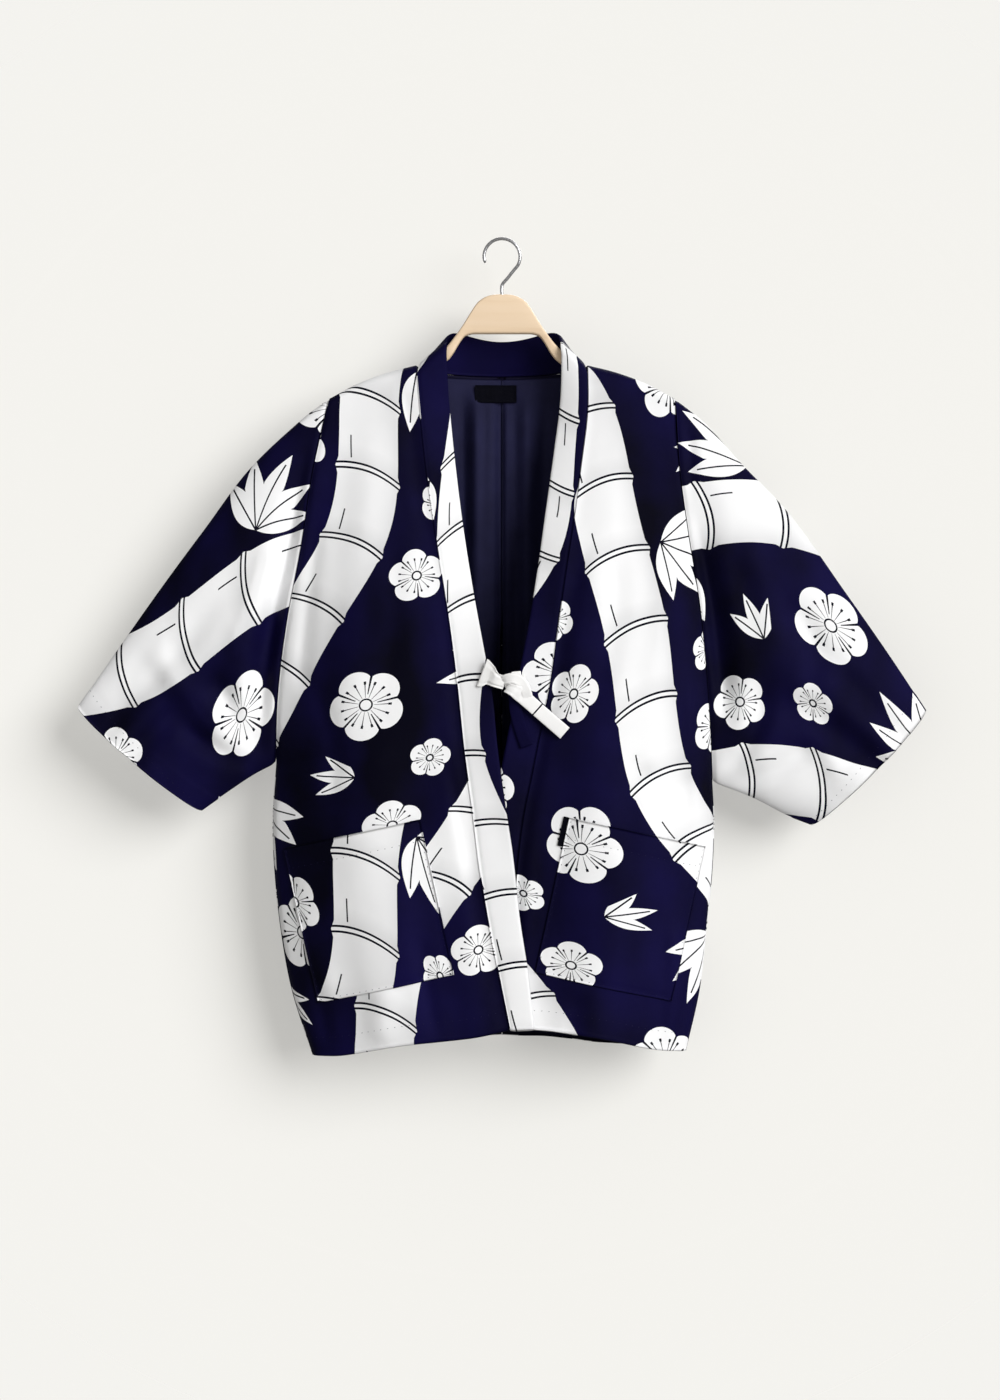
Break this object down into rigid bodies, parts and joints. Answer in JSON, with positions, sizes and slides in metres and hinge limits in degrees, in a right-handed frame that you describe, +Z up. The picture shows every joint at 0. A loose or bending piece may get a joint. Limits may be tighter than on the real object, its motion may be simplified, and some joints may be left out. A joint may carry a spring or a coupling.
{
  "type": "haori on a wooden hanger",
  "caption": "Hip-length haori with wide three-quarter sleeves, collar band, patch pockets and cloth ties knotted at the chest, hanging open-fronted on a wooden hanger.",
  "frame": {"origin": "inside top of the hanger's hook, where the rail carries it", "axes": "+Z up, the front faces -Y, +X towards the wearer's left sleeve"},
  "size_m": [0.938, 0.1188, 0.9055],
  "materials": {
    "printed_cotton": "matte printed cotton, dark navy with white and pale grey motifs",
    "lining_cloth": "plain charcoal navy lining with a faint sheen",
    "label_cloth": "bare black woven label",
    "hanger_wood": "light wood with a satin lacquer",
    "hook_steel": "polished steel wire"
  },
  "bodies": {
    "root": {"front_right": "printed_cotton", "front_left": "printed_cotton", "back_right": "printed_cotton", "back_left": "printed_cotton", "sleeve_right": "printed_cotton", "sleeve_left": "printed_cotton", "collar": "printed_cotton", "pocket_right": "printed_cotton", "pocket_left": "printed_cotton", "tie_right": "printed_cotton", "tie_left": "printed_cotton", "tie_end_right": "printed_cotton", "tie_end_left": "printed_cotton", "tie_knot": "printed_cotton", "lining_back_right": "lining_cloth", "lining_back_left": "lining_cloth", "label": "label_cloth", "hanger": "hanger_wood", "hook": "hook_steel"}
  },
  "joints": []
}
